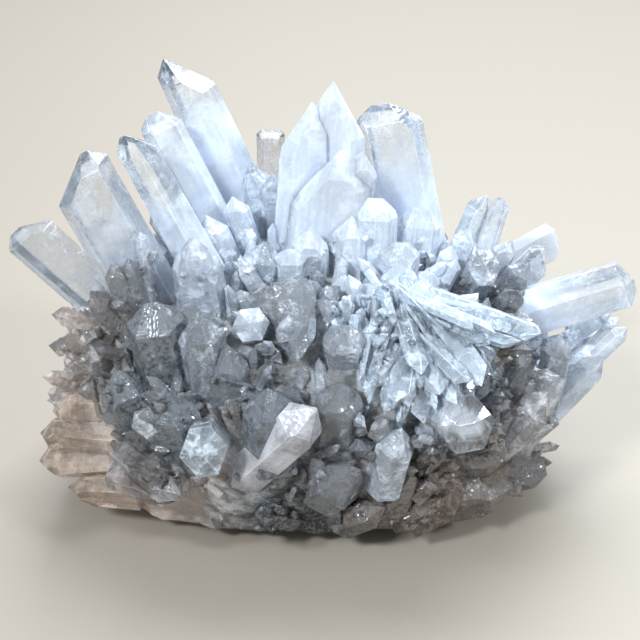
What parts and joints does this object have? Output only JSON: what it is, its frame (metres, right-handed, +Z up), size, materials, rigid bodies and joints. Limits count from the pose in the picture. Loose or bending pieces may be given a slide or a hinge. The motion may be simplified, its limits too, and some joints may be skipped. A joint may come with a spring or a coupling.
{
  "type": "chrysanthemum quartz cluster",
  "caption": "Radiating cluster of clear and milky quartz crystals on a low rock base with a flat resting face, for display on a table or shelf.",
  "frame": {"origin": "middle of the flat resting face under the rock base", "axes": "+Z up out of the table, +X to the right along the cluster's longest way, +Y away from the viewer"},
  "size_m": [0.1225, 0.0757, 0.081],
  "materials": {
    "grey_quartz_rock": "frosted grey quartz on dark rock",
    "clear_quartz": "clear to milky quartz, glossy",
    "milky_quartz": "opaque white quartz"
  },
  "bodies": {
    "root": {"matrix": "grey_quartz_rock", "crystal_tall_left": "clear_quartz", "crystal_left_second": "clear_quartz", "crystal_left_third": "clear_quartz", "crystal_far_left_tall": "clear_quartz", "crystal_far_left_low": "clear_quartz", "crystal_back_small": "clear_quartz", "crystals_centre_blades": "clear_quartz", "crystal_right_tall": "clear_quartz", "crystal_right_tall_back": "clear_quartz", "crystals_back_right": "clear_quartz", "crystal_white_blade": "milky_quartz", "crystal_right_clear": "clear_quartz", "crystal_right_big": "clear_quartz", "crystal_right_low_a": "clear_quartz", "crystal_right_low_b": "clear_quartz", "crystal_right_low_c": "clear_quartz", "crystal_fan_blade": "clear_quartz", "crystal_front_hexagon": "clear_quartz", "crystal_front_slant": "clear_quartz", "crystal_front_bright": "clear_quartz", "crystals_petals": "clear_quartz"}
  },
  "joints": []
}
